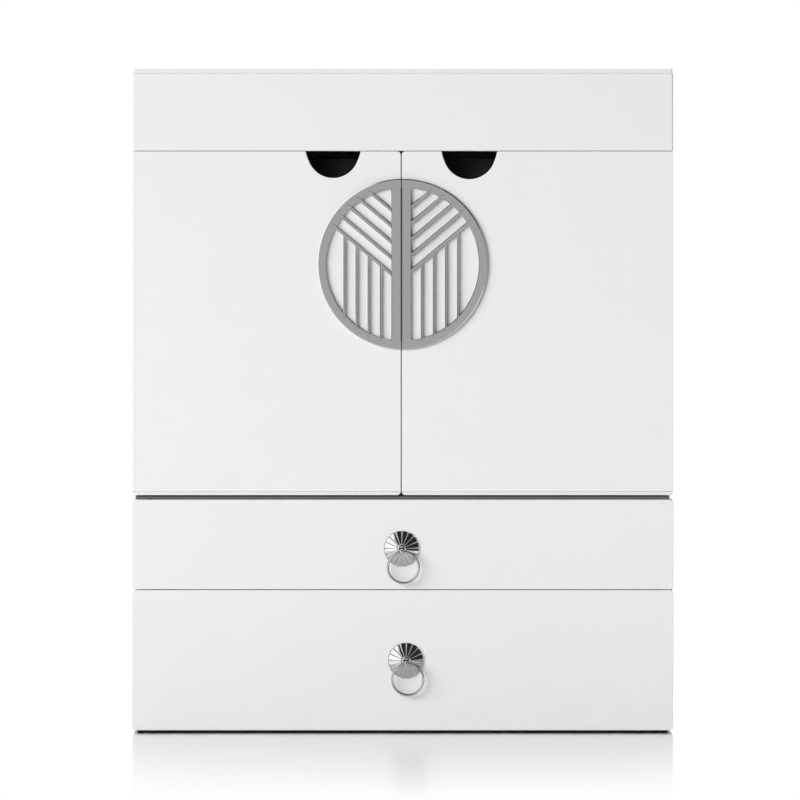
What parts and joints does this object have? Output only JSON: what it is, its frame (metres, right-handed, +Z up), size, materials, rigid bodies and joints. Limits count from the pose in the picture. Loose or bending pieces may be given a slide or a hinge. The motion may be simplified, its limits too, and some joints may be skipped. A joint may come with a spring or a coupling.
{
  "type": "desktop cosmetic cabinet",
  "caption": "White wrapped-board tabletop cosmetic cabinet with a flip-up lid over a tray, double doors with finger notches, and drawers with ring pulls.",
  "frame": {"origin": "middle of the footprint, on the surface that the cabinet stands on", "axes": "+X to the right seen from the front, the front faces -Y, +Z up"},
  "size_m": [0.3, 0.2165, 0.3677],
  "materials": {
    "white_leatherette": "white synthetic leather with a fine grain, glued over board",
    "black_flock": "short matte black flock on card or board",
    "grey_board": "dark grey wrapped board",
    "badge_nickel": "satin nickel plating on a cast plate",
    "chrome_pull": "polished chrome plating",
    "steel_fitting": "nickel-plated steel",
    "mirror_glass": "silvered glass"
  },
  "bodies": {
    "cabinet": {"back_lining": "black_flock", "base_board": "black_flock", "case_hinge_screws": "steel_fitting", "door_hinge_case_leaves": "steel_fitting", "door_hinge_pins": "steel_fitting", "drawer_divider": "white_leatherette", "floor_lining": "black_flock", "left_lining": "black_flock", "lid_bumpers": "black_flock", "lid_hinge_case_leaves": "steel_fitting", "lid_hinge_pins": "steel_fitting", "lower_case_back": "white_leatherette", "lower_case_floor": "white_leatherette", "lower_case_left_wall": "white_leatherette", "lower_case_right_wall": "white_leatherette", "lower_case_top": "white_leatherette", "right_lining": "black_flock", "shelf": "black_flock", "shelf_pins": "steel_fitting", "spacer_board": "grey_board", "striker_plates": "steel_fitting", "tray_dividers": "black_flock", "tray_floor": "black_flock", "tray_front": "black_flock", "upper_case_back": "white_leatherette", "upper_case_floor": "white_leatherette", "upper_case_left_wall": "white_leatherette", "upper_case_right_wall": "white_leatherette"},
    "lid": {"lid_hinge_leaves": "steel_fitting", "lid_hinge_screws": "steel_fitting", "lid_lining": "black_flock", "lid_mirror": "mirror_glass", "lid_top_panel": "white_leatherette", "lid_walls": "white_leatherette"},
    "left_door": {"left_badge": "badge_nickel", "left_door_hinge_leaves": "steel_fitting", "left_door_hinge_screws": "steel_fitting", "left_door_lining": "black_flock", "left_door_magnet": "steel_fitting", "left_door_panel": "white_leatherette"},
    "right_door": {"right_badge": "badge_nickel", "right_door_hinge_leaves": "steel_fitting", "right_door_hinge_screws": "steel_fitting", "right_door_lining": "black_flock", "right_door_magnet": "steel_fitting", "right_door_panel": "white_leatherette"},
    "upper_drawer": {"upper_drawer_bottom": "black_flock", "upper_drawer_box": "black_flock", "upper_drawer_front": "white_leatherette", "upper_pull_eye": "chrome_pull", "upper_pull_nut": "steel_fitting", "upper_pull_rosette": "chrome_pull"},
    "lower_drawer": {"lower_drawer_bottom": "black_flock", "lower_drawer_box": "black_flock", "lower_drawer_front": "white_leatherette", "lower_pull_eye": "chrome_pull", "lower_pull_nut": "steel_fitting", "lower_pull_rosette": "chrome_pull"},
    "upper_ring": {"upper_pull_ring": "chrome_pull"},
    "lower_ring": {"lower_pull_ring": "chrome_pull"}
  },
  "joints": [
    {"name": "lid_hinge", "type": "hinge", "parent": "cabinet", "child": "lid", "pos_m": [0, 0.1035, 0.3217], "axis": [-1, 0, 0], "range_deg": [0, 105]},
    {"name": "left_door_hinge", "type": "hinge", "parent": "cabinet", "child": "left_door", "pos_m": [-0.1482, -0.0944, 0.22675], "axis": [0, 0, -1], "range_deg": [0, 105]},
    {"name": "right_door_hinge", "type": "hinge", "parent": "cabinet", "child": "right_door", "pos_m": [0.1482, -0.0944, 0.22675], "axis": [0, 0, 1], "range_deg": [0, 105]},
    {"name": "upper_drawer_slide", "type": "slide", "parent": "cabinet", "child": "upper_drawer", "axis": [0, -1, 0], "range_m": [0, 0.15]},
    {"name": "lower_drawer_slide", "type": "slide", "parent": "cabinet", "child": "lower_drawer", "axis": [0, -1, 0], "range_m": [0, 0.15]},
    {"name": "upper_ring_hinge", "type": "hinge", "parent": "upper_drawer", "child": "upper_ring", "pos_m": [-0.0005, -0.1096, 0.10015], "axis": [-1, 0, 0], "range_deg": [-10, 100]},
    {"name": "lower_ring_hinge", "type": "hinge", "parent": "lower_drawer", "child": "lower_ring", "pos_m": [0.0019, -0.1096, 0.03815], "axis": [-1, 0, 0], "range_deg": [-10, 100]}
  ]
}
